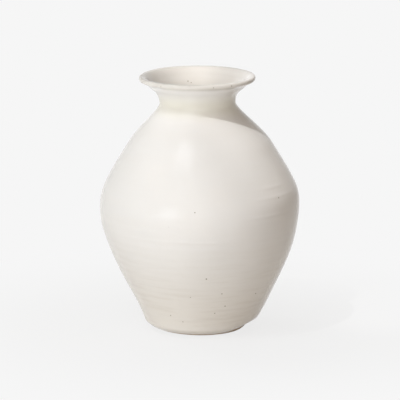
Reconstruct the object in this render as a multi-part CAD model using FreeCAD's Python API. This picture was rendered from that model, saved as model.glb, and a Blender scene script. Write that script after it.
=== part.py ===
import FreeCAD
import Part

import math
import os

# A white glazed porcelain jar built the way a moon jar is built: two thrown bowls luted mouth to
# mouth at the belly, a thrown collar luted on for the throat and flared lip, and a foot ring luted
# underneath. Glaze covers everything but the foot. Millimetres, +Z up, origin at the middle of the
# resting face.

# Height of each piece, from the resting face up
foot_ring_height = 7.0
foot_slip_thickness = 1.0
lower_bowl_height = 139.6
belly_slip_thickness = 1.6
upper_bowl_height = 100.0
collar_slip_thickness = 1.6
collar_height = 49.2

# Radii of the glazed outside, from the foot to the lip
well_radius = 38.0
foot_edge_radius = 47.0
glaze_line_radius = 58.6
heel_radius = 66.6
belly_radius = 116.8
shoulder_radius = 82.8
neck_radius = 58.1
throat_radius = 44.5
flare_radius = 57.3
lip_radius = 68.0

# Where those radii lie inside their pieces
glaze_line_height = 3.6
heel_rise = 3.0
low_wall_rise = 26.0
shoulder_drop = 28.0
throat_rise = 17.8
flare_drop = 11.0
lip_edge_drop = 3.0
lip_corner_drop = 5.4
lip_corner_inset = 1.9
lip_crest_inset = 2.9
floor_flat_radius = 40.0

# Clay and glaze
floor_thickness = 9.0
low_wall = 7.6
belly_wall = 5.6
shoulder_wall = 5.6
neck_wall = 5.4
throat_wall = 5.4
flare_wall = 5.2
glaze_thickness = 0.6
foot_edge_bevel = 1.0
well_glaze_end_height = 3.0

# The coil of slip pressed into a rebate along the inside of the belly join
bead_depth = 1.8
bead_half_height = 4.5
bead_root = 1.2

# Lean of the outside from upright, in degrees, outwards while going up
foot_edge_lean = 74.0
glaze_line_lean = 54.0
heel_lean = 21.0
low_wall_lean = 26.0
shoulder_lean = -32.7
neck_lean = -44.4
flare_lean = 39.3
lip_corner_lean = 63.0
crest_lean = -90.0
half_turn = 180.0
full_turn = 360.0

# How far each curve's two handles reach, as shares of the straight distance it spans
foot_curve_shares = (0.34, 0.34)
heel_curve_shares = (0.34, 0.34)
low_wall_shares = (0.33, 0.33)
lower_belly_shares = (0.24, 0.36)
upper_belly_shares = (0.22, 0.60)
shoulder_shares = (0.23, 0.47)
neck_shares = (0.23, 0.15)
flare_shares = (0.58, 0.26)
lip_under_shares = (0.36, 0.36)
lip_corner_shares = (0.50, 0.42)
lip_crest_shares = (0.55, 0.55)
inner_lip_shares = (0.40, 0.30)
floor_corner_shares = (0.52, 0.42)

# Heights of the joins, worked out from the pieces
bowl_foot = foot_ring_height + foot_slip_thickness
belly_join_low = bowl_foot + lower_bowl_height
belly_join_high = belly_join_low + belly_slip_thickness
collar_join_low = belly_join_high + upper_bowl_height
collar_join_high = collar_join_low + collar_slip_thickness
jar_height = collar_join_high + collar_height
belly_height = (belly_join_low + belly_join_high) / 2
neck_height = (collar_join_low + collar_join_high) / 2
floor_height = bowl_foot + floor_thickness
bead_radius = belly_radius - belly_wall + glaze_thickness
bead_root_radius = bead_radius + bead_root
beyond = belly_radius + jar_height


# A station is a point of the profile: its radius, its height and the lean of the curve through it.
def sunk(station, depth):
    """The station moved into the wall by a depth, square to the curve."""
    radius, height, lean = station
    turn = math.radians(lean)
    return (radius - depth * math.cos(turn), height + depth * math.sin(turn), lean)


def far_side(station, wall):
    """The station on the other face of the wall, where the profile runs the other way."""
    radius, height, lean = sunk(station, wall)
    return (radius, height, lean - half_turn)


def point(radius, height):
    return FreeCAD.Vector(radius, 0, height)


def place(station):
    return point(station[0], station[1])


def line(start, end):
    return Part.LineSegment(start, end).toShape()


def curve(start, end, shares):
    """A cubic curve between two stations that leaves and arrives along their leans."""
    span = place(start).distanceToPoint(place(end))
    handles = []
    for (radius, height, lean), reach in ((start, shares[0] * span), (end, -shares[1] * span)):
        turn = math.radians(lean)
        handles.append(point(radius + reach * math.sin(turn), height + reach * math.cos(turn)))
    bend = Part.BezierCurve()
    bend.setPoles([place(start), handles[0], handles[1], place(end)])
    return bend.toShape()


def run(stations, shares, depth):
    """The curves through a list of stations, all sunk into the wall by one depth."""
    sunken = [sunk(station, depth) for station in stations]
    return [curve(a, b, pair) for a, b, pair in zip(sunken, sunken[1:], shares)]


def backwards(shares):
    return [pair[::-1] for pair in reversed(shares)]


# Profile of the glazed outside, from the glaze line above the foot to the crest of the lip
glaze_line = (glaze_line_radius, glaze_line_height, glaze_line_lean)
heel = (heel_radius, bowl_foot + heel_rise, heel_lean)
belly = (belly_radius, belly_height, 0)
shoulder = (shoulder_radius, neck_height - shoulder_drop, shoulder_lean)
neck = (neck_radius, neck_height, neck_lean)
throat = (throat_radius, neck_height + throat_rise, 0)
flare = (flare_radius, jar_height - flare_drop, flare_lean)
lip_corner = (lip_radius - lip_corner_inset, jar_height - lip_corner_drop, lip_corner_lean)
lip_edge = (lip_radius, jar_height - lip_edge_drop, 0)
lip_crest = (lip_radius - lip_crest_inset, jar_height, crest_lean)
outside = [glaze_line, heel, belly, shoulder, neck, throat, flare, lip_corner, lip_edge, lip_crest]
body_shares = [lower_belly_shares, upper_belly_shares, shoulder_shares, neck_shares, flare_shares]
lip_shares = [lip_under_shares, lip_corner_shares, lip_crest_shares]
outside_shares = [heel_curve_shares] + body_shares + lip_shares

# Profile of the glazed inside, from the crest of the lip down to the middle of the floor
low_wall_radius = heel_radius + low_wall_rise * math.tan(math.radians(low_wall_lean))
low_wall_outside = (low_wall_radius, heel[1] + low_wall_rise, low_wall_lean)
inside = [
    lip_crest,
    far_side(flare, flare_wall),
    far_side(throat, throat_wall),
    far_side(neck, neck_wall),
    far_side(shoulder, shoulder_wall),
    far_side(belly, belly_wall),
    far_side(low_wall_outside, low_wall),
    (floor_flat_radius, floor_height, crest_lean),
]
inside_shares = (
    [inner_lip_shares] + backwards(body_shares[1:]) + [low_wall_shares, floor_corner_shares]
)


def face_of(edges):
    return Part.Face(Part.Wire(edges))


def ends(edges):
    """The first and last point of a run of curves."""
    return edges[0].valueAt(edges[0].FirstParameter), edges[-1].valueAt(edges[-1].LastParameter)


def reversed_run(edges):
    return list(reversed(edges))


def clay_section():
    """Half the section of all the clay, from the axis out, foot ring and bowls and collar in one."""
    outer = run(outside, outside_shares, glaze_thickness)
    inner = run(inside, inside_shares, glaze_thickness)
    rim_of_foot = (foot_edge_radius, 0, foot_edge_lean)
    glaze_root = sunk(glaze_line, glaze_thickness)
    floor_edge = ends(inner)[1]
    floor_middle = point(0, floor_edge.z)
    roof_middle = point(0, bowl_foot)
    roof_edge = point(well_radius, bowl_foot)
    well_edge = point(well_radius, foot_edge_bevel)
    foot_inner = point(well_radius + foot_edge_bevel, 0)
    edges = [curve(rim_of_foot, glaze_root, foot_curve_shares)]
    edges += outer + inner
    edges += [
        line(floor_edge, floor_middle),
        line(floor_middle, roof_middle),
        line(roof_middle, roof_edge),
        line(roof_edge, well_edge),
        line(well_edge, foot_inner),
        line(foot_inner, place(rim_of_foot)),
    ]
    return face_of(edges)


def outside_glaze_section():
    skin = run(outside, outside_shares, 0)
    clay = run(outside, outside_shares, glaze_thickness)
    skin_start, skin_end = ends(skin)
    clay_start, clay_end = ends(clay)
    edges = skin + [line(skin_end, clay_end)] + reversed_run(clay) + [line(clay_start, skin_start)]
    return face_of(edges)


def hollow_section(depth):
    """Half the section of the jar's hollow, whose edge is the glazed inside sunk by a depth."""
    edge = run(inside, inside_shares, depth)
    crest, floor_edge = ends(edge)
    mouth_edge = point(crest.x, jar_height)
    mouth_middle = point(0, jar_height)
    floor_middle = point(0, floor_edge.z)
    edges = edge + [line(floor_edge, floor_middle), line(floor_middle, mouth_middle)]
    edges.append(line(mouth_middle, mouth_edge))
    if depth:
        edges.append(line(mouth_edge, crest))
    return face_of(edges)


def well_glaze_section():
    """The glaze under the foot: the roof of the well and the ring's inner wall, short of the floor."""
    inner_radius = well_radius - glaze_thickness
    underside = bowl_foot - glaze_thickness
    corners = [
        point(0, bowl_foot),
        point(well_radius, bowl_foot),
        point(well_radius, well_glaze_end_height),
        point(inner_radius, well_glaze_end_height),
        point(inner_radius, underside),
        point(0, underside),
    ]
    return Part.Face(Part.makePolygon(corners + corners[:1]))


def bead_section(extra):
    """The coil along the inside of the belly join, grown all round by one more thickness, extra."""
    top = point(bead_root_radius, belly_height + bead_half_height + extra)
    bulge = point(bead_radius - bead_depth - extra, belly_height)
    bottom = point(bead_root_radius, belly_height - bead_half_height - extra)
    return face_of([Part.Arc(top, bulge, bottom).toShape(), line(bottom, top)])


def band(low, high, start=0):
    """A rectangle of the section plane between two heights, from a radius to beyond the jar."""
    corners = [point(start, low), point(beyond, low), point(beyond, high), point(start, high)]
    return Part.Face(Part.makePolygon(corners + corners[:1]))


def turned(section):
    """The section turned once round the axis, its touching faces joined into one solid."""
    middle = FreeCAD.Vector(0, 0, 0)
    axis = FreeCAD.Vector(0, 0, 1)
    pieces = [face.revolve(middle, axis, full_turn) for face in section.Faces]
    whole = pieces[0]
    for piece in pieces[1:]:
        whole = whole.fuse(piece)
    return whole.removeSplitter()


clay = clay_section()
bead = bead_section(0)
glazed_bead = bead_section(glaze_thickness)
belly_seam = band(belly_join_low, belly_join_high, bead_root_radius)

sections = {
    "foot_ring": clay.common(band(0, foot_ring_height)),
    "foot_slip": clay.common(band(foot_ring_height, bowl_foot)),
    "lower_bowl": clay.common(band(bowl_foot, belly_join_low)).cut(bead),
    "belly_slip": clay.common(belly_seam).fuse(bead),
    "upper_bowl": clay.common(band(belly_join_high, collar_join_low)).cut(bead),
    "collar_slip": clay.common(band(collar_join_low, collar_join_high)),
    "neck_collar": clay.common(band(collar_join_high, beyond)),
    "outside_glaze": outside_glaze_section(),
    "inside_glaze": hollow_section(glaze_thickness).cut(bead).cut(hollow_section(0).cut(glazed_bead)),
    "well_glaze": well_glaze_section(),
}

os.makedirs("parts", exist_ok=True)
for name, section in sections.items():
    solid = turned(section)
    if len(solid.Solids) != 1 or not solid.isValid():
        raise ValueError(name + " is not one valid solid")
    solid.exportStep("parts/" + name + ".step")
    print(name, "faces", len(solid.Faces), "volume", round(solid.Volume))
print("jar height", round(jar_height, 3))
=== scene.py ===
import math

import bpy
import numpy as np
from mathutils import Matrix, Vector


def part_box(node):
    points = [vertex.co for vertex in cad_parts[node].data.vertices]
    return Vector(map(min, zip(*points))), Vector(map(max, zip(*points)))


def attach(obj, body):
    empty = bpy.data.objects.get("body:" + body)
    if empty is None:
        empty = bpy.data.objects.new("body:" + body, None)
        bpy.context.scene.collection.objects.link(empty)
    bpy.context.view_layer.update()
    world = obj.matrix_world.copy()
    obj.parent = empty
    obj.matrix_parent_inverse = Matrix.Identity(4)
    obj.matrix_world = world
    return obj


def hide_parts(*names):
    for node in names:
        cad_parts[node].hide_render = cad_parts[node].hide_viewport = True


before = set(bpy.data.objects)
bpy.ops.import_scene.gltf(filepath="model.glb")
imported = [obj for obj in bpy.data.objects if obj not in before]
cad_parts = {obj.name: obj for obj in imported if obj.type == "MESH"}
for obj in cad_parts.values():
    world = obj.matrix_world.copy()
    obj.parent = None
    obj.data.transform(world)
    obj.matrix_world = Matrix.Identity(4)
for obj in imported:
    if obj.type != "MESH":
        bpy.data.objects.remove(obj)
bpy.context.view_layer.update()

# The form is worked out in millimetres and put into the scene in metres
mm = 0.001

nodeBox = {name: [np.array(corner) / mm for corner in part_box(name)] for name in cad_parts}
side, up = 0, 2  # which number of a corner is its radius to the side, and which its height

# Real sizes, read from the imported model
jar = {
    "top": nodeBox["outside_glaze"][1][up],
    "bellyRadius": nodeBox["outside_glaze"][1][side],
    "glaze": nodeBox["outside_glaze"][1][up] - nodeBox["neck_collar"][1][up],
    "ringTop": nodeBox["foot_ring"][1][up],
    "bowlFoot": nodeBox["lower_bowl"][0][up],
    "lowerRim": nodeBox["lower_bowl"][1][up],
    "upperRim": nodeBox["upper_bowl"][0][up],
    "upperTop": nodeBox["upper_bowl"][1][up],
    "collarFoot": nodeBox["neck_collar"][0][up],
    "wellRadius": nodeBox["well_glaze"][1][side],
    "wellGlazeEnd": nodeBox["well_glaze"][0][up],
}
jar["floor"] = nodeBox["inside_glaze"][0][up] + jar["glaze"]
jar["seam"] = (jar["lowerRim"] + jar["upperRim"]) / 2

# The outside from the glaze line to the crest of the lip. Each station gives its radius as a share of
# the belly's radius, its height as a share of the jar's, and the lean of the curve there in degrees,
# outwards while going up. The reaches are how far a curve's two handles go, as shares of its span.
outsideForm = {
    "stations": {
        "glazeLine": (0.50171, 0.012, 54),
        "heel": (0.57021, 0.036667, 21),
        "belly": (1, 0.494667, 0),
        "shoulder": (0.7089, 0.74, -32.7),
        "neck": (0.49743, 0.833333, -44.4),
        "throat": (0.38099, 0.892667, 0),
        "flare": (0.49058, 0.963333, 39.3),
        "lipCorner": (0.56592, 0.982, 63),
        "lipEdge": (0.58219, 0.99, 0),
        "lipCrest": (0.55736, 1, -90),
    },
    "reaches": [
        (0.34, 0.34), (0.24, 0.36), (0.22, 0.60), (0.23, 0.47), (0.23, 0.15),
        (0.58, 0.26), (0.36, 0.36), (0.50, 0.42), (0.55, 0.55),
    ],
    "steps": [0.4, 1.2, 1.2, 1.2, 1.2, 1.0, 0.5, 0.3, 0.25],
}

# The inside from the crest down to the floor: the wall under each station, and the low wall's own station
insideForm = {
    "walls": {"flare": 5.2, "throat": 5.4, "neck": 5.4, "shoulder": 5.6, "belly": 5.6},
    "lowWall": (0.67877, 0.123333, 26),
    "lowWallThickness": 7.6,
    "floorFlat": 0.34247,
    "reaches": [
        (0.40, 0.30), (0.26, 0.58), (0.15, 0.23), (0.47, 0.23), (0.60, 0.22), (0.33, 0.33), (0.52, 0.42),
    ],
    "steps": [0.4, 1.0, 1.4, 1.6, 1.6, 1.8, 1.8],
}

bead = {"rise": 1.8, "root": 1.2, "reach": 6.1}  # the coil along the inside of the belly join


def sized(station):
    # A station's shares turned into millimetres.
    radius, height, lean = station
    return radius * jar["bellyRadius"], height * jar["top"], lean


def sunk(station, depth):
    # The station moved into the wall by a depth, square to the curve.
    radius, height, lean = station
    turn = math.radians(lean)
    return radius - depth * math.cos(turn), height + depth * math.sin(turn), lean


def farSide(station, wall):
    # The station on the other face of the wall, where the curve runs the other way.
    radius, height, lean = sunk(station, wall)
    return radius, height, lean - 180


def walked(points):
    # The length along a path at each of its points, from its start.
    return np.append(0, np.cumsum(np.linalg.norm(np.diff(points, axis=0), axis=1)))


def curveThrough(stations, reaches, steps):
    # Cubic Bezier curves from station to station, walked in even steps of length. Each row holds the
    # radius, the height and the normal, which is the direction of travel turned towards the air.
    rows = []
    for start, end, reach, step in zip(stations, stations[1:], reaches, steps):
        ends = np.array([start[:2], end[:2]])
        leans = np.radians([start[2], end[2]])
        aims = np.stack([np.sin(leans), np.cos(leans)], axis=1) * np.linalg.norm(ends[1] - ends[0])
        poles = np.stack([ends[0], ends[0] + reach[0] * aims[0], ends[1] - reach[1] * aims[1], ends[1]])

        def at(t):
            return np.stack([(1 - t) ** 3, 3 * t * (1 - t) ** 2, 3 * t * t * (1 - t), t ** 3], axis=1) @ poles

        fine = np.linspace(0, 1, 500)
        length = walked(at(fine))
        count = max(2, math.ceil(length[-1] / step)) + 1
        t = np.interp(np.linspace(0, length[-1], count), length, fine)
        heading = np.stack([(1 - t) ** 2, 2 * t * (1 - t), t * t], axis=1) @ np.diff(poles, axis=0)
        heading /= np.linalg.norm(heading, axis=1, keepdims=True)
        rows.append(np.column_stack([at(t), heading[:, 1], -heading[:, 0]])[:-1])
        last = np.append(at(t)[-1], [heading[-1, 1], -heading[-1, 0]])
    return np.vstack(rows + [last])


def raised(path, amount):
    # The path's points moved along its normals by an amount, which may differ from point to point.
    return path[:, :2] + np.reshape(amount, (-1, 1)) * path[:, 2:]


def between(path, start, end, nearest=0.3):
    # The stretch of a path from one height to another, with both ends worked out on the path.
    radii, heights = path[:, 0], path[:, 1]
    middle = path[(heights > min(start, end) + nearest) & (heights < max(start, end) - nearest)]
    order = heights.argsort()
    ends = np.interp([start, end], heights[order], radii[order])
    return np.vstack([[ends[0], start], middle, [ends[1], end]])


def lens(height):
    # One at the belly seam, easing to nothing a reach above and below it, as a squared cosine.
    away = np.clip(np.abs(height - jar["seam"]) / bead["reach"], 0, 1)
    return np.cos(away * math.pi / 2) ** 2


outerStations = {name: sized(station) for name, station in outsideForm["stations"].items()}
innerStations = [outerStations["lipCrest"]]
innerStations += [farSide(outerStations[name], wall) for name, wall in insideForm["walls"].items()]
innerStations += [
    farSide(sized(insideForm["lowWall"]), insideForm["lowWallThickness"]),
    (insideForm["floorFlat"] * jar["bellyRadius"], jar["floor"], -90),
]
outerPath = curveThrough(list(outerStations.values()), outsideForm["reaches"], outsideForm["steps"])
innerPath = curveThrough(innerStations, insideForm["reaches"], insideForm["steps"])
coarser = 3  # hidden faces take steps this many times as long


def thinned(points):
    # Every few points of a path, always with its last.
    return np.vstack([points[:-1:coarser], points[-1:]])


outerClay = thinned(raised(outerPath, -jar["glaze"]))
innerClay = thinned(raised(innerPath, -jar["glaze"]))
innerRebate = thinned(raised(innerPath, -jar["glaze"] - bead["root"] * lens(innerPath[:, 1])))
innerBead = thinned(raised(innerPath, -jar["glaze"] + bead["rise"] * lens(innerPath[:, 1])))
print("profile:", len(outerPath), "points outside,", len(innerPath), "inside")

# What the potter's hands left: how far the jar's middle strays at each height, and its uneven wall
hands = {
    "strayHeights": [0, 0.1, 0.25, 0.42, 0.6, 0.75, 0.85, 0.92, 1.0],
    "straySideways": [1.20, 2.22, 0.83, -0.61, 0.56, 0.27, -1.73, -3.75, -2.91],
    "strayInDepth": [0.5, -0.3, -0.9, -0.2, 0.8, 0.4, -0.5, -0.9, -0.4],
    "easing": 14,  # millimetres over which the stray is averaged
    "oval": 0.8,
    "quiet": 22.0,  # radius inside which nothing is pushed sideways
    # Slow waves in the wall: depth, how many times round, height of one wave, and where it starts
    "waves": [(0.22, 3, 170, 0.4), (0.16, 4, -110, 2.1), (0.12, 5, 76, 4.0), (0.08, 7, -58, 1.2)],
    # Throwing rings: depth, pitch, height where they are deepest, how far they reach, and start
    "rings": [(0.07, 9.4, 84, 44, 0.0), (0.03, 13.1, 190, 60, 1.7), (0.035, 6.1, 262, 26, 0.9)],
    "ringWander": 0.9,
    # Single marks: rise, height, half height, angle from the front and how far round it reaches
    "ridges": [
        (0.3, 125, 1.4, -4, 34), (0.9, 166, 10.0, 58, 36), (0.4, 171, 1.9, 47, 18), (0.4, 151, 1.9, 42, 14),
        (0.4, 181.5, 1.8, 48, 13), (0.15, 61, 1.6, -20, 50), (0.16, 136, 2.2, -38, 16),
    ],
    "lipTilt": 0.5,
    "lipWaves": [(0.28, 2, 1.1), (0.16, 3, 2.6), (0.07, 5, 0.3)],
    "lipStart": 0.93,
    # The heel is pulled up on one side, between two radii and below a height
    "heelLift": 6.5,
    "heelLiftAngle": 66,
    "heelLiftHalfWidth": 28,
    "heelLiftRadii": (48.0, 58.0),
    "heelLiftTop": 20.0,
    # The spiral on the floor starts a little off the middle and fades up the low wall
    "floorSpiral": 0.28,
    "floorPitch": 8.5,
    "floorStart": 10,
    "floorFade": (30, 48),
    "floorTop": (26, 40),
}


def eased(value, low, high):
    # Nothing at the low end, one at the high end, with a level start and finish.
    share = np.clip((value - low) / (high - low), 0, 1)
    return share * share * (3 - 2 * share)


def strayed(height, strays):
    # Straight lines between the given heights, averaged over a window so that no corner is left.
    reach = hands["easing"]
    fine = np.arange(-3.0 * reach, jar["top"] + 3 * reach)
    window = np.hanning(2 * reach + 1)
    line = np.interp(fine, np.array(hands["strayHeights"]) * jar["top"], strays)
    return np.interp(height, fine, np.convolve(line, window / window.sum(), mode="same"))


def around(angle, middle, halfWidth):
    # A bell round the jar: one at its middle angle, fading either side (angles in degrees).
    away = (np.degrees(angle) - middle + 180) % 360 - 180
    return np.exp(-(away / halfWidth) ** 2)


def handMade(radius, height, angle):
    # Where a point of the round form lies on the thrown jar. The radius gains an oval (twice round),
    # slow waves, a spiral of throwing rings and a few ridges, the middle strays with the height, and
    # the lip and the heel rise and fall. Angles run from the front towards +X. Result in millimetres.
    share = height / jar["top"]
    push = hands["oval"] * np.sin(math.pi * np.clip(share, 0, 1)) * np.sin(2 * angle)
    for depth, turns, wave, start in hands["waves"]:
        push = push + depth * np.sin(turns * angle + 2 * math.pi * height / wave + start)
    for depth, pitch, middle, reach, start in hands["rings"]:
        wander = hands["ringWander"] * np.sin(height / reach + 2 * angle)
        phase = 2 * math.pi * height / pitch + angle + wander + start
        push = push + depth * np.exp(-((height - middle) / reach) ** 2) * np.sin(phase)
    for rise, middle, halfHeight, towards, halfWidth in hands["ridges"]:
        mark = np.exp(-((height - middle) / halfHeight) ** 2)
        push = push + rise * mark * around(angle, towards, halfWidth)
    radius = radius + push * eased(radius, 0, hands["quiet"])

    lip = eased(share, hands["lipStart"], 1)
    rise = lip * hands["lipTilt"] * np.sin(angle)
    for depth, turns, start in hands["lipWaves"]:
        rise = rise + lip * depth * np.sin(turns * angle + start)
    heel = eased(radius, *hands["heelLiftRadii"]) * (1 - eased(height, 0, hands["heelLiftTop"]))
    rise = rise + hands["heelLift"] * heel * around(angle, hands["heelLiftAngle"], hands["heelLiftHalfWidth"])
    floor = eased(radius, 0, hands["floorStart"]) * (1 - eased(radius, *hands["floorFade"]))
    floor = floor * eased(height, jar["bowlFoot"], jar["floor"] - jar["glaze"])
    floor = floor * (1 - eased(height, *hands["floorTop"]))
    rise = rise + hands["floorSpiral"] * floor * np.sin(2 * math.pi * radius / hands["floorPitch"] - angle)

    x = radius * np.sin(angle) + strayed(height, hands["straySideways"])
    y = -radius * np.cos(angle) + strayed(height, hands["strayInDepth"])
    return np.stack([x, y, height + rise], axis=-1)


def turnedPiece(name, section, turns, material, node, sharpAngle=40):
    # A closed section (radius and height, up its outer side and down its inner one) turned round the
    # axis on an even grid of angles. Where it starts and ends on the axis, a fan closes each pole.
    onAxis = section[0, 0] == 0
    ring = section[1:-1] if onAxis else section
    count = len(ring)
    angle = np.linspace(0, 2 * math.pi, turns, endpoint=False)[:, None]
    points = handMade(ring[None, :, 0], ring[None, :, 1], angle + 0 * ring[None, :, 1]).reshape(-1, 3)
    i, j = np.meshgrid(np.arange(turns), np.arange(count - 1 if onAxis else count), indexing="ij")
    here, beyond = i * count, (i + 1) % turns * count
    above = (j + 1) % count
    quads = np.stack([here + j, beyond + j, beyond + above, here + above], axis=-1).reshape(-1, 4)
    faces = quads.tolist()
    if onAxis:
        poles = handMade(section[[0, -1], 0], section[[0, -1], 1], np.zeros(2))
        points = np.vstack([points, poles])
        first = np.arange(turns) * count
        following = (np.arange(turns) + 1) % turns * count
        startPole, endPole = turns * count, turns * count + 1
        faces += np.stack([first * 0 + startPole, following, first], axis=-1).tolist()
        faces += np.stack([first * 0 + endPole, first + count - 1, following + count - 1], axis=-1).tolist()
    mesh = bpy.data.meshes.new(name)
    mesh.from_pydata((points * mm).tolist(), [], faces)
    mesh.polygons.foreach_set("use_smooth", np.ones(len(mesh.polygons), dtype=bool))
    mesh.set_sharp_from_angle(angle=math.radians(sharpAngle))
    mesh.materials.append(material)
    piece = bpy.data.objects.new(name, mesh)
    bpy.context.scene.collection.objects.link(piece)
    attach(piece, "root")
    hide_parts(node)
    print(name, "faces", len(mesh.polygons))


def linear(hexText):
    # An sRGB hex colour as linear red, green, blue and alpha.
    parts = [int(hexText[k:k + 2], 16) / 255 for k in (1, 3, 5)]
    return [p / 12.92 if p <= 0.04045 else ((p + 0.055) / 1.055) ** 2.4 for p in parts] + [1]


def addNode(tree, kind, values={}, **settings):
    # Adds a node. The settings are its own properties. Each value goes to the input of that name or
    # number: an output is linked to it, anything else is set on it.
    node = tree.nodes.new(kind)
    for name, setting in settings.items():
        setattr(node, name, setting)
    for name, value in values.items():
        if isinstance(value, bpy.types.NodeSocket):
            tree.links.new(value, node.inputs[name])
        else:
            node.inputs[name].default_value = value
    return node


def newMaterial(name):
    # An empty material, with its object coordinates in millimetres.
    material = bpy.data.materials.new(name)
    material.use_nodes = True
    tree = material.node_tree
    tree.nodes.clear()
    place = addNode(tree, "ShaderNodeTexCoord")
    scale = addNode(tree, "ShaderNodeMapping", {"Vector": place.outputs["Object"], "Scale": (1 / mm,) * 3})
    return material, tree, scale.outputs["Vector"]


# Felspathic white glaze, dipped and fired to a quiet gloss: weak mirrored lamps over a coat that is a
# little cooler in patches, creamier and streaked where it runs thin towards the foot, and darker and
# warmer in the neck's hollow, a painted shade under the lip. Iron has bled through in specks. Dents, an
# orange peel and the turning marks soften the gloss, the peel drawn coarse enough to see. Sizes are in
# millimetres.
glazeLook = {
    "white": "#F4F2EF",
    "cool": "#F2F1EF",
    "patch": 62.0,
    "patchRange": (0.35, 0.65),
    "cream": "#F1EDE6",
    "thinTop": 150.0,
    "thinShare": 0.75,
    "band": 9.0,
    "bandRange": (0.3, 0.7),
    "bandSpread": 0.006,
    "uneven": 0.16,
    "streak": "#DDD7CD",
    "streakShare": 0.29,
    "streakRange": (0.5, 0.7),
    "streakScale": (0.024, 0.024, 0.27),
    # Painted shade in the neck's hollow under the lip: its darker, warmer colour, the height of its middle
    # and its reach
    "paintedNeckShade": "#F0EDE2",
    "paintedShadeHeight": 270.0,
    "paintedShadeReach": 19.0,
    "lip": "#E3DFD8",
    "lipThin": 0.75,
    "lipReach": 4.0,
    "iron": "#8F866C",
    "speckCell": 21.0,
    "speckRadius": 0.55,
    "speckStrength": 0.3,
    "markStrength": 0.9,
    "ragGrain": 0.9,
    "ragReach": 0.4,
    "roughness": (0.1, 0.14),
    "sheen": 18.0,
    "sheenRange": (0.3, 0.7),
    "shine": 0.3,
    "ior": 1.5,
    "dent": 16.0,
    "dentDepth": 0.3,
    "peel": 2.6,
    "peelDepth": 0.008,
    "turning": 1.4,
    "turningSpread": 0.03,
    "turningDepth": 0.01,
    "pinCell": 9.0,
    "pinRadius": 0.25,
    "pinDepth": 0.06,
}

# Iron specks that show in the photograph: angle from the front, height and radius of the speck
frontSpecks = [
    (-18.0, 21.1, 0.8), (-29.3, 28.1, 0.8), (19.4, 42.4, 0.95), (11.2, 33.5, 0.8), (15.4, 59.4, 0.85),
    (46.2, 53.6, 0.9), (3.8, 79.8, 1.1), (-3.0, 161.1, 0.8), (52.1, 169.1, 0.9), (-8.2, 55.2, 0.7),
    (-38.0, 297.0, 0.7), (16.0, 296.8, 0.8), (35.5, 297.3, 0.9),
]
# Two small marks on the far wall of the throat, seen through the mouth
mouthSpecks = [(193.5, 285.3, 1.0), (189.0, 283.8, 0.8)]


def speckPlaces(path, specks):
    # Where each speck sits on a glazed face, in millimetres, with its radius.
    heights, order = path[:, 1], path[:, 1].argsort()
    found = []
    for angle, height, size in specks:
        radius = np.interp(height, heights[order], path[order, 0])
        found.append((handMade(radius, np.float64(height), np.radians(angle)), size))
    return found


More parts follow.
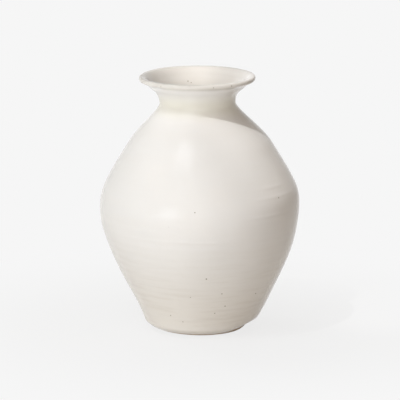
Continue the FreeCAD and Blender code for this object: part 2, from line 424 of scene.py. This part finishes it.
def glazed(name, specks, thinLow, lipLow, paintedShadeShare):
    # The white glaze. Specks are places where iron has bled through, thinLow is the height below which
    # the coat is at its thinnest and creamiest, above lipLow it has run off the lip's edge, and the last
    # is the share of a darker, warmer colour painted in the hollow of the neck as the shade under the lip.
    look = glazeLook
    material, tree, place = newMaterial(name)
    height = addNode(tree, "ShaderNodeSeparateXYZ", {0: place}).outputs["Z"]
    low, high = look["patchRange"]
    patches = {"Vector": place, "Scale": 1 / look["patch"], "Detail": 3.0}
    patches = addNode(tree, "ShaderNodeTexNoise", patches).outputs[0]
    patches = addNode(tree, "ShaderNodeMapRange", {0: patches, 1: low, 2: high}).outputs[0]
    colour = addNode(
        tree, "ShaderNodeMix", {0: patches, 6: linear(look["white"]), 7: linear(look["cool"])},
        data_type="RGBA",
    ).outputs[2]

    # Thin towards the foot, unevenly
    low, high = look["bandRange"]
    flattened = (look["bandSpread"], look["bandSpread"], 1 / look["band"])
    bands = addNode(tree, "ShaderNodeMapping", {"Vector": place, "Scale": flattened}).outputs[0]
    bands = addNode(tree, "ShaderNodeTexNoise", {"Vector": bands, "Scale": 1.0, "Detail": 2.0}).outputs[0]
    bands = addNode(tree, "ShaderNodeMapRange", {0: bands, 1: low, 2: high}).outputs[0]
    thin = addNode(
        tree, "ShaderNodeMapRange", {0: height, 1: thinLow, 2: look["thinTop"], 3: 1.0, 4: 0.0},
        interpolation_type="SMOOTHSTEP",
    ).outputs[0]
    uneven = addNode(tree, "ShaderNodeMath", {0: bands, 1: patches}, operation="ADD").outputs[0]
    uneven = addNode(
        tree, "ShaderNodeMath", {0: uneven, 1: look["uneven"], 2: -look["uneven"]}, operation="MULTIPLY_ADD",
    ).outputs[0]
    cream = addNode(
        tree, "ShaderNodeMath", {0: thin, 1: look["thinShare"], 2: uneven},
        operation="MULTIPLY_ADD", use_clamp=True,
    ).outputs[0]
    colour = addNode(
        tree, "ShaderNodeMix", {0: cream, 6: colour, 7: linear(look["cream"])}, data_type="RGBA",
    ).outputs[2]

    low, high = look["streakRange"]
    streaks = addNode(tree, "ShaderNodeMapping", {"Vector": place, "Scale": look["streakScale"]}).outputs[0]
    streaks = addNode(tree, "ShaderNodeTexNoise", {"Vector": streaks, "Scale": 1.0, "Detail": 3.0}).outputs[0]
    streaks = addNode(
        tree, "ShaderNodeMapRange", {0: streaks, 1: low, 2: high, 4: look["streakShare"]},
    ).outputs[0]
    streaks = addNode(tree, "ShaderNodeMath", {0: streaks, 1: thin}, operation="MULTIPLY").outputs[0]
    colour = addNode(
        tree, "ShaderNodeMix", {0: streaks, 6: colour, 7: linear(look["streak"])}, data_type="RGBA",
    ).outputs[2]

    # Painted shade: darker and warmer in the neck's hollow under the lip. Thin on the lip
    away = addNode(tree, "ShaderNodeMath", {0: height, 1: look["paintedShadeHeight"]}, operation="SUBTRACT")
    away = addNode(tree, "ShaderNodeMath", {0: away.outputs[0]}, operation="ABSOLUTE").outputs[0]
    paintedNeckShade = addNode(
        tree, "ShaderNodeMapRange", {0: away, 1: look["paintedShadeReach"], 2: 0.0, 3: 0.0, 4: paintedShadeShare},
        interpolation_type="SMOOTHSTEP",
    ).outputs[0]
    colour = addNode(
        tree, "ShaderNodeMix", {0: paintedNeckShade, 6: colour, 7: linear(look["paintedNeckShade"])}, data_type="RGBA",
    ).outputs[2]
    bare = addNode(
        tree, "ShaderNodeMapRange", {0: height, 1: lipLow, 2: lipLow + look["lipReach"], 4: look["lipThin"]},
    ).outputs[0]
    colour = addNode(
        tree, "ShaderNodeMix", {0: bare, 6: colour, 7: linear(look["lip"])}, data_type="RGBA",
    ).outputs[2]

    # Ragged edges for the specks: the place is nudged by a fine noise
    nudge = addNode(tree, "ShaderNodeTexNoise", {"Vector": place, "Scale": look["ragGrain"], "Detail": 1.0})
    nudge = addNode(
        tree, "ShaderNodeVectorMath", {0: nudge.outputs["Color"], 1: (-0.5, -0.5, -0.5)}, operation="ADD",
    ).outputs[0]
    ragged = addNode(
        tree, "ShaderNodeVectorMath", {0: nudge, 1: (look["ragReach"],) * 3, 2: place},
        operation="MULTIPLY_ADD",
    ).outputs[0]
    cells = addNode(tree, "ShaderNodeTexVoronoi", {"Vector": ragged, "Scale": 1 / look["speckCell"]})
    speckShare = look["speckRadius"] / look["speckCell"]
    iron = addNode(
        tree, "ShaderNodeMapRange",
        {0: cells.outputs["Distance"], 1: speckShare, 2: speckShare / 2, 4: look["speckStrength"]},
    ).outputs[0]
    for spot, size in specks:
        away = addNode(tree, "ShaderNodeVectorMath", {0: ragged, 1: spot}, operation="DISTANCE")
        mark = addNode(
            tree, "ShaderNodeMapRange",
            {0: away.outputs["Value"], 1: size, 2: size / 2, 3: 0.0, 4: look["markStrength"]},
        ).outputs[0]
        iron = addNode(tree, "ShaderNodeMath", {0: iron, 1: mark}, operation="MAXIMUM").outputs[0]
    colour = addNode(
        tree, "ShaderNodeMix", {0: iron, 6: colour, 7: linear(look["iron"])}, data_type="RGBA",
    ).outputs[2]

    low, high = look["sheenRange"]
    sheen = addNode(tree, "ShaderNodeTexNoise", {"Vector": place, "Scale": 1 / look["sheen"], "Detail": 4.0})
    roughness = addNode(
        tree, "ShaderNodeMapRange",
        {0: sheen.outputs[0], 1: low, 2: high, 3: look["roughness"][0], 4: look["roughness"][1]},
    ).outputs[0]

    # Relief from coarse to fine, each bump laid on the one before
    dents = addNode(tree, "ShaderNodeTexNoise", {"Vector": place, "Scale": 1 / look["dent"], "Detail": 2.0})
    dents = addNode(tree, "ShaderNodeBump", {"Distance": look["dentDepth"] * mm, "Height": dents.outputs[0]})
    peel = addNode(tree, "ShaderNodeTexNoise", {"Vector": place, "Scale": 1 / look["peel"], "Detail": 1.0})
    peel = addNode(
        tree, "ShaderNodeBump",
        {"Distance": look["peelDepth"] * mm, "Height": peel.outputs[0], "Normal": dents.outputs[0]},
    )
    flattened = (look["turningSpread"], look["turningSpread"], 1 / look["turning"])
    rings = addNode(tree, "ShaderNodeMapping", {"Vector": place, "Scale": flattened}).outputs[0]
    rings = addNode(tree, "ShaderNodeTexNoise", {"Vector": rings, "Scale": 1.0, "Detail": 2.0})
    rings = addNode(
        tree, "ShaderNodeBump",
        {"Distance": look["turningDepth"] * mm, "Height": rings.outputs[0], "Normal": peel.outputs[0]},
    )
    pins = addNode(tree, "ShaderNodeTexVoronoi", {"Vector": place, "Scale": 1 / look["pinCell"]})
    pinShare = look["pinRadius"] / look["pinCell"]
    pins = addNode(
        tree, "ShaderNodeMapRange", {0: pins.outputs["Distance"], 1: pinShare, 2: pinShare / 3},
    ).outputs[0]
    holes = addNode(
        tree, "ShaderNodeBump",
        {"Distance": look["pinDepth"] * mm, "Height": pins, "Normal": rings.outputs[0]}, invert=True,
    )
    shader = addNode(
        tree, "ShaderNodeBsdfPrincipled",
        {
            "Base Color": colour, "Roughness": roughness, "IOR": look["ior"],
            "Specular IOR Level": look["shine"], "Normal": holes.outputs[0],
        },
    )
    addNode(tree, "ShaderNodeOutputMaterial", {"Surface": shader.outputs[0]})
    return material


# Fired porcelain clay left bare at the foot: matt and warm, gritty under the finger, toasted in a
# thin line where the glaze stops and greyed where it has stood and been slid about.
clayLook = {
    "clay": "#E2D8C8",
    "grit": "#B9AB95",
    "gritRange": (0.56, 0.72),
    "gritShare": 0.7,
    "grain": 0.7,
    "grainDepth": 0.05,
    "grainStrength": 0.8,
    "toast": "#C79E74",
    "toastShare": 0.65,
    "toastHeight": 3.4,
    "toastHalf": 1.3,
    "wander": 9.0,
    "wanderHeight": 2.0,
    "wear": "#BDB5A8",
    "wearShare": 0.8,
    "wearHeight": 0.35,
    "scuff": 6.0,
    "scuffRange": (0.42, 0.6),
    "roughness": (0.82, 0.6),
    "ior": 1.45,
}


def bareClay(name):
    # Fired clay: a grain of fine grit, a toasted band below the glaze line and a worn resting face.
    # The band is where the height, moved by a wandering noise about its own middle, nears its own.
    look = clayLook
    material, tree, place = newMaterial(name)
    height = addNode(tree, "ShaderNodeSeparateXYZ", {0: place}).outputs["Z"]
    low, high = look["gritRange"]
    grain = addNode(tree, "ShaderNodeTexNoise", {"Vector": place, "Scale": 1 / look["grain"], "Detail": 3.0})
    grit = addNode(
        tree, "ShaderNodeMapRange", {0: grain.outputs[0], 1: low, 2: high, 3: 0.0, 4: look["gritShare"]},
    ).outputs[0]
    colour = addNode(
        tree, "ShaderNodeMix", {0: grit, 6: linear(look["clay"]), 7: linear(look["grit"])}, data_type="RGBA",
    ).outputs[2]

    line = addNode(tree, "ShaderNodeTexNoise", {"Vector": place, "Scale": 1 / look["wander"], "Detail": 3.0})
    line = addNode(
        tree, "ShaderNodeMath", {0: line.outputs[0], 1: look["wanderHeight"], 2: height},
        operation="MULTIPLY_ADD",
    ).outputs[0]
    middle = look["toastHeight"] + look["wanderHeight"] / 2
    line = addNode(tree, "ShaderNodeMath", {0: line, 1: middle}, operation="SUBTRACT").outputs[0]
    line = addNode(tree, "ShaderNodeMath", {0: line}, operation="ABSOLUTE").outputs[0]
    toast = addNode(
        tree, "ShaderNodeMapRange", {0: line, 1: look["toastHalf"], 2: 0.0, 3: 0.0, 4: look["toastShare"]},
        interpolation_type="SMOOTHSTEP",
    ).outputs[0]
    colour = addNode(
        tree, "ShaderNodeMix", {0: toast, 6: colour, 7: linear(look["toast"])}, data_type="RGBA",
    ).outputs[2]

    low, high = look["scuffRange"]
    scuffs = addNode(tree, "ShaderNodeTexNoise", {"Vector": place, "Scale": 1 / look["scuff"], "Detail": 5.0})
    scuffs = addNode(
        tree, "ShaderNodeMapRange", {0: scuffs.outputs[0], 1: low, 2: high, 3: 0.0, 4: look["wearShare"]},
    ).outputs[0]
    resting = addNode(tree, "ShaderNodeMapRange", {0: height, 1: look["wearHeight"], 2: 0.0}).outputs[0]
    worn = addNode(tree, "ShaderNodeMath", {0: scuffs, 1: resting}, operation="MULTIPLY").outputs[0]
    colour = addNode(
        tree, "ShaderNodeMix", {0: worn, 6: colour, 7: linear(look["wear"])}, data_type="RGBA",
    ).outputs[2]
    rough, rubbed = look["roughness"]
    roughness = addNode(
        tree, "ShaderNodeMapRange", {0: worn, 1: 0.0, 2: look["wearShare"], 3: rough, 4: rubbed},
    ).outputs[0]
    bump = addNode(
        tree, "ShaderNodeBump",
        {
            "Strength": look["grainStrength"], "Distance": look["grainDepth"] * mm,
            "Height": grain.outputs[0],
        },
    )
    shader = addNode(
        tree, "ShaderNodeBsdfPrincipled",
        {"Base Color": colour, "Roughness": roughness, "IOR": look["ior"], "Normal": bump.outputs[0]},
    )
    addNode(tree, "ShaderNodeOutputMaterial", {"Surface": shader.outputs[0]})
    return material


# Slip brushed into the joins and fired: finer than the clay and a little paler, with brush drag
slipLook = {
    "pale": "#E8E1D4",
    "dark": "#D9CFBF",
    "drag": (0.08, 0.08, 1.2),
    "dragDepth": 0.08,
    "dragStrength": 0.7,
    "roughness": 0.85,
    "ior": 1.45,
}


def joiningSlip(name):
    # One noise, drawn out along the brush's way round, gives both the colour and the relief.
    look = slipLook
    material, tree, place = newMaterial(name)
    drag = addNode(tree, "ShaderNodeMapping", {"Vector": place, "Scale": look["drag"]}).outputs[0]
    drag = addNode(tree, "ShaderNodeTexNoise", {"Vector": drag, "Scale": 1.0, "Detail": 4.0}).outputs[0]
    colour = addNode(
        tree, "ShaderNodeMix", {0: drag, 6: linear(look["pale"]), 7: linear(look["dark"])}, data_type="RGBA",
    ).outputs[2]
    bump = addNode(
        tree, "ShaderNodeBump",
        {"Strength": look["dragStrength"], "Distance": look["dragDepth"] * mm, "Height": drag},
    )
    shader = addNode(
        tree, "ShaderNodeBsdfPrincipled",
        {
            "Base Color": colour, "Roughness": look["roughness"], "IOR": look["ior"],
            "Normal": bump.outputs[0],
        },
    )
    addNode(tree, "ShaderNodeOutputMaterial", {"Surface": shader.outputs[0]})
    return material


# Only the outside carries the painted shade under the lip
outsideGlazed = glazed(
    "feldsparGlazeOutside", speckPlaces(outerPath, frontSpecks), thinLow=12.0, lipLow=291.0, paintedShadeShare=1.0,
)
insideGlazed = glazed(
    "feldsparGlazeInside", speckPlaces(innerPath, mouthSpecks), thinLow=-60.0, lipLow=299.0, paintedShadeShare=0.0,
)
wellGlazed = glazed("feldsparGlazeWell", [], thinLow=12.0, lipLow=299.0, paintedShadeShare=0.0)
footClay = bareClay("firedPorcelainClay")
slipCoat = joiningSlip("firedJoiningSlip")
print("materials made")

fineTurns, hiddenTurns = 192, 96  # how many steps round a face that shows, and round one that doesn't

# Where the outside glaze stops above the foot, it draws up into a fat rolled edge
rolledEdge = {"width": 1.5, "roll": 0.16, "rollAt": 2.6, "rollReach": 1.8}


def outsideCoat():
    # Skin up the outside, then the clay's face back down. The coat grows from nothing at the glaze
    # line as a quarter circle does, and swells a little before it evens out.
    length = walked(outerPath[:, :2])
    start = np.clip(1 - length / rolledEdge["width"], 0, 1)
    missing = jar["glaze"] * (1 - np.sqrt(1 - start ** 2))
    roll = rolledEdge["roll"] * np.exp(-((length - rolledEdge["rollAt"]) / rolledEdge["rollReach"]) ** 2)
    skin = raised(outerPath, roll * (1 - start ** 2) - missing)
    return np.vstack([skin, outerClay[:0:-1]])


floorSteps = {"skin": 26, "clay": 9, "underside": 5}  # points from a floor's edge to the axis


def floorRun(height, start, count):
    # Even steps along the floor from a radius to the axis, at one height.
    radius = np.linspace(start, 0, count)[:, None]
    return np.hstack([radius, radius * 0 + height])


def insideCoat():
    # The clay's face up from the middle of the floor to the crest, then the skin back down.
    skin = raised(innerPath, bead["rise"] * lens(innerPath[:, 1]))
    edge = skin[-1, 0]
    under = floorRun(jar["floor"] - jar["glaze"], edge, floorSteps["clay"])[:0:-1]
    over = floorRun(jar["floor"], edge, floorSteps["skin"])[1:]
    return np.vstack([under, innerBead[::-1], skin, over])


# The foot: its outer edge swept back, its inner edge and the well's coat rounded
footForm = {"edge": (47.0, 0, 74), "reaches": (0.34, 0.34), "step": 0.5, "round": 1.0, "flatSteps": 12}
wellForm = {"round": 2.0, "tail": 1.2, "roundSteps": 7, "roofSteps": 24}


def footSection():
    # The resting face, the swept edge up to the glaze line, the clay under the glaze, and the well.
    root = sunk(outerStations["glazeLine"], jar["glaze"])
    edge = curveThrough([footForm["edge"], root], [footForm["reaches"]], [footForm["step"]])[:, :2]
    covered = between(outerClay, root[1], jar["ringTop"])
    inner, bend = jar["wellRadius"], footForm["round"]
    turn = np.linspace(0, math.pi / 2, wellForm["roundSteps"])[:, None]
    corner = np.hstack([inner + bend * (1 - np.cos(turn)), bend * (1 - np.sin(turn))])
    flat = np.linspace(inner + bend, edge[0, 0], footForm["flatSteps"])[1:-1, None]
    return np.vstack([np.hstack([flat, flat * 0]), edge[:-1], covered, [[inner, jar["ringTop"]]], corner])


def wellCoat():
    # Across the well's roof from the axis, round into its wall, down to a tapered tail, and back
    # along the clay.
    outer, roof = jar["wellRadius"], jar["bowlFoot"]
    inner, under, bend = outer - jar["glaze"], roof - jar["glaze"], wellForm["round"]
    turn = np.linspace(0, math.pi / 2, wellForm["roundSteps"])[:, None]
    across = floorRun(under, inner - bend, wellForm["roofSteps"])[::-1]
    rounded = np.hstack([inner - bend * (1 - np.sin(turn)), under - bend * (1 - np.cos(turn))])
    tail = np.hstack([
        outer - jar["glaze"] * np.cos(turn), jar["wellGlazeEnd"] + wellForm["tail"] * (1 - np.sin(turn)),
    ])
    back = floorRun(roof, outer, wellForm["roundSteps"])
    return np.vstack([across, rounded[1:], tail, back])


def ringOfClay(low, high, inner):
    # A ring between two heights, from the clay's outer face to a given inner side, top to bottom.
    return np.vstack([between(outerClay, low, high), inner])


def wellSide(low, high):
    # The straight wall of the well, top to bottom.
    return np.array([[jar["wellRadius"], high], [jar["wellRadius"], low]])


def lowerSection():
    # The bowl's flat underside out from the axis, its outside, its rim, its inside and its floor.
    floor = jar["floor"] - jar["glaze"]
    inside = between(innerRebate, jar["lowerRim"], floor)
    under = floorRun(jar["bowlFoot"], jar["wellRadius"], floorSteps["underside"])[::-1]
    return np.vstack([under, ringOfClay(jar["bowlFoot"], jar["lowerRim"], inside), [[0, floor]]])


def bellySlipSection():
    # The coil's back up to the slab, round the slab, on up, and down the coil's bulging face.
    low, high = jar["seam"] - bead["reach"], jar["seam"] + bead["reach"]
    slab = between(outerClay, jar["lowerRim"], jar["upperRim"])
    backLow = between(innerRebate, jar["lowerRim"], low)[::-1]
    backHigh = between(innerRebate, high, jar["upperRim"])[::-1]
    return np.vstack([backLow, slab, backHigh, between(innerBead, high, low)[1:-1]])


def collarSection():
    # Up the collar's outside to the crest of the lip and down its inside.
    crest = outerClay[-1, 1]
    inside = between(innerClay, crest, jar["collarFoot"])[1:]
    return ringOfClay(jar["collarFoot"], crest, inside)


turnedPiece("outsideGlaze", outsideCoat(), fineTurns, outsideGlazed, "outside_glaze")
turnedPiece("insideGlaze", insideCoat(), fineTurns, insideGlazed, "inside_glaze")
turnedPiece("wellGlaze", wellCoat(), fineTurns, wellGlazed, "well_glaze")
turnedPiece("footRing", footSection(), fineTurns, footClay, "foot_ring")
footSlipSection = ringOfClay(jar["ringTop"], jar["bowlFoot"], wellSide(jar["ringTop"], jar["bowlFoot"]))
turnedPiece("footSlip", footSlipSection, hiddenTurns, slipCoat, "foot_slip")
turnedPiece("lowerBowl", lowerSection(), hiddenTurns, footClay, "lower_bowl")
turnedPiece("bellySlip", bellySlipSection(), hiddenTurns, slipCoat, "belly_slip")
upperInside = between(innerRebate, jar["upperTop"], jar["upperRim"])
upperSection = ringOfClay(jar["upperRim"], jar["upperTop"], upperInside)
turnedPiece("upperBowl", upperSection, hiddenTurns, footClay, "upper_bowl")
collarSlipInside = between(innerClay, jar["collarFoot"], jar["upperTop"])
collarSlipSection = ringOfClay(jar["upperTop"], jar["collarFoot"], collarSlipInside)
turnedPiece("collarSlip", collarSlipSection, hiddenTurns, slipCoat, "collar_slip")
turnedPiece("neckCollar", collarSection(), hiddenTurns, footClay, "neck_collar")

# The floor: to the camera an even pale sheet that takes a faint shadow near the jar. The light that
# it sends back to the jar is dim and warm, as from a dark table.
floorLook = {
    "half": 8.0,
    "pale": "#F6F6F6",
    "bounce": "#DCD6CE",
    "shadowShare": 0.16,
    "shadowReach": 0.42,
    "lit": 0.9,
}


def lookedAt(tree):
    # One for a camera, glossy or transmission ray, nothing for the others.
    path = addNode(tree, "ShaderNodeLightPath").outputs
    seen = addNode(
        tree, "ShaderNodeMath", {0: path["Is Camera Ray"], 1: path["Is Glossy Ray"]}, operation="MAXIMUM",
    ).outputs[0]
    return addNode(
        tree, "ShaderNodeMath", {0: seen, 1: path["Is Transmission Ray"]}, operation="MAXIMUM",
    ).outputs[0]


def makeFloor():
    # One flat square whose camera colour is its own glow, mixed near the jar with a lit white.
    half = floorLook["half"]
    corners = [(-half, -half, 0), (half, -half, 0), (half, half, 0), (-half, half, 0)]
    mesh = bpy.data.meshes.new("floor")
    mesh.from_pydata(corners, [], [range(4)])
    floor = bpy.data.objects.new("floor", mesh)
    bpy.context.scene.collection.objects.link(floor)
    material = bpy.data.materials.new("paleTable")
    material.use_nodes = True
    tree = material.node_tree
    tree.nodes.clear()
    place = addNode(tree, "ShaderNodeTexCoord").outputs["Object"]
    away = addNode(tree, "ShaderNodeVectorMath", {0: place}, operation="LENGTH").outputs["Value"]
    near = addNode(
        tree, "ShaderNodeMapRange",
        {0: away, 1: 0.0, 2: floorLook["shadowReach"], 3: floorLook["shadowShare"], 4: 0.0},
        interpolation_type="SMOOTHSTEP",
    ).outputs[0]
    glow = addNode(tree, "ShaderNodeEmission", {"Color": linear(floorLook["pale"])})
    lit = addNode(tree, "ShaderNodeBsdfDiffuse", {"Color": (floorLook["lit"],) * 3 + (1,)})
    shown = addNode(tree, "ShaderNodeMixShader", {0: near, 1: glow.outputs[0], 2: lit.outputs[0]})
    bounce = addNode(tree, "ShaderNodeBsdfDiffuse", {"Color": linear(floorLook["bounce"])})
    whole = {0: lookedAt(tree), 1: bounce.outputs[0], 2: shown.outputs[0]}
    whole = addNode(tree, "ShaderNodeMixShader", whole)
    addNode(tree, "ShaderNodeOutputMaterial", {"Surface": whole.outputs[0]})
    mesh.materials.append(material)


# Lamps: where they stand as seen from the jar (degrees left of the front and up), how far off, how
# large, how strong, and their colour. The glaze mirrors two of them.
lamps = {
    "frontLow": {
        "angle": 0, "rise": 8, "away": 1.2, "size": (0.4, 0.3), "watts": 4.35, "colour": "#F2F8FF",
    },
    "leftLow": {
        "angle": 37, "rise": 4, "away": 1.0, "size": (0.4, 0.3), "watts": 0.45, "colour": "#F1F9FF",
    },
    "sideLow": {
        "angle": 75, "rise": 5, "away": 1.2, "size": (0.4, 0.3), "watts": 2.7, "colour": "#F1F9FF",
    },
    "overhead": {
        "angle": 0, "rise": 85, "away": 1.6, "size": (0.9, 0.9), "watts": 1.7, "colour": "#F1F9FF",
    },
    "behind": {
        "angle": 130, "rise": 30, "away": 1.8, "size": (0.6, 0.6), "watts": 7.6, "colour": "#FEFFFD",
    },
    "backFill": {
        "angle": 180, "rise": 12, "away": 1.8, "size": (0.8, 0.8), "watts": 6.5, "colour": "#FBFCFF",
    },
    "upperShine": {
        "angle": 34, "rise": 57, "away": 1.6, "size": (0.62, 0.5), "watts": 3.1, "colour": "#F4FAFF",
    },
    "lowerShine": {
        "angle": 35, "rise": 8, "away": 0.9, "size": (0.28, 0.36), "watts": 0.95, "colour": "#F4FAFF",
    },
}
mirrored = {"upperShine", "lowerShine"}

# Small lamps high on the left with narrow beams, given by their aim and full angle. Two draw the lip's
# shadow across the shoulder and fade away to the left, the others light the throat's far wall.
beams = {
    "shoulderRight": {"aim": (0.14, -0.03, 0.23), "cone": 8, "watts": 72.0, "colour": "#FFFFFF"},
    "shoulderFront": {"aim": (0.06, -0.05, 0.24), "cone": 12, "watts": 20.0, "colour": "#FFFFFF"},
    "throatRight": {"aim": (0.02, 0.06, 0.285), "cone": 3.6, "watts": 17.0, "colour": "#FFFDF8"},
    "throatLeft": {"aim": (-0.02, 0.06, 0.29), "cone": 3.6, "watts": 50.0, "colour": "#FFFCF6"},
}
beamStand = {"angle": 34, "rise": 56, "away": 1.8, "middle": 0.28, "radius": 0.018}

# The room: what rays see of it, and the light that comes from its front
airLook = {"pale": "#F6F6F6", "front": "#957F63"}


def standAt(look, height):
    # A place at an angle, rise and distance from a point on the jar's axis.
    angle, rise = math.radians(look["angle"]), math.radians(look["rise"])
    towards = Vector((-math.sin(angle) * math.cos(rise), -math.cos(angle) * math.cos(rise), math.sin(rise)))
    return Vector((0, 0, height)) + towards * look["away"]


def addLamp(name, light, look, place, aim):
    # Hangs a light at a place, turned to its aim.
    light.energy = look["watts"]
    light.color = linear(look["colour"])[:3]
    lamp = bpy.data.objects.new(name, light)
    lamp.location = place
    lamp.rotation_euler = (aim - place).to_track_quat("-Z", "Y").to_euler()
    lamp.visible_glossy = name in mirrored
    bpy.context.scene.collection.objects.link(lamp)


def makeLamps():
    # The flat lamps face the middle of the jar, and each beam its own aim.
    middle = jar["top"] * mm / 2
    for name, look in lamps.items():
        light = bpy.data.lights.new(name, "AREA")
        light.shape = "RECTANGLE"
        light.size, light.size_y = look["size"]
        addLamp(name, light, look, standAt(look, middle), Vector((0, 0, middle)))
    for name, look in beams.items():
        light = bpy.data.lights.new(name, "SPOT")
        light.spot_size, light.spot_blend = math.radians(look["cone"]), 1.0
        light.shadow_soft_size = beamStand["radius"]
        addLamp(name, light, look, standAt(beamStand, beamStand["middle"]), Vector(look["aim"]))


def makeAir():
    # The room's own light falls off evenly from the front to the back. Camera, glossy and transmission
    # rays see the even pale background instead.
    world = bpy.data.worlds.new("room")
    bpy.context.scene.world = world
    world.use_nodes = True
    tree = world.node_tree
    tree.nodes.clear()
    heading = addNode(tree, "ShaderNodeTexCoord").outputs["Generated"]
    along = addNode(tree, "ShaderNodeSeparateXYZ", {0: heading}).outputs["Y"]
    share = addNode(tree, "ShaderNodeMapRange", {0: along, 1: 1.0, 2: -1.0}).outputs[0]
    room = addNode(tree, "ShaderNodeBackground", {"Color": linear(airLook["front"]), "Strength": share})
    pale = addNode(tree, "ShaderNodeBackground", {"Color": linear(airLook["pale"])})
    whole = addNode(tree, "ShaderNodeMixShader", {0: lookedAt(tree), 1: room.outputs[0], 2: pale.outputs[0]})
    addNode(tree, "ShaderNodeOutputWorld", {"Surface": whole.outputs[0]})


# The camera stands well back and a little above, as the photograph's did
view = {"place": (0, -4.5872, 1.1226), "aim": (0, 0, 0.1517), "lens": 360, "sensor": 36}


def makeCamera():
    # A long lens aimed at the middle of the jar.
    data = bpy.data.cameras.new("camera")
    data.lens, data.sensor_width = view["lens"], view["sensor"]
    camera = bpy.data.objects.new("camera", data)
    camera.location = view["place"]
    aim = Vector(view["aim"]) - Vector(view["place"])
    camera.rotation_euler = aim.to_track_quat("-Z", "Y").to_euler()
    bpy.context.scene.collection.objects.link(camera)
    bpy.context.scene.camera = camera


makeFloor()
makeLamps()
makeAir()
makeCamera()
bpy.context.scene.view_settings.view_transform = "Standard"
print("floor, lamps, room and camera made")
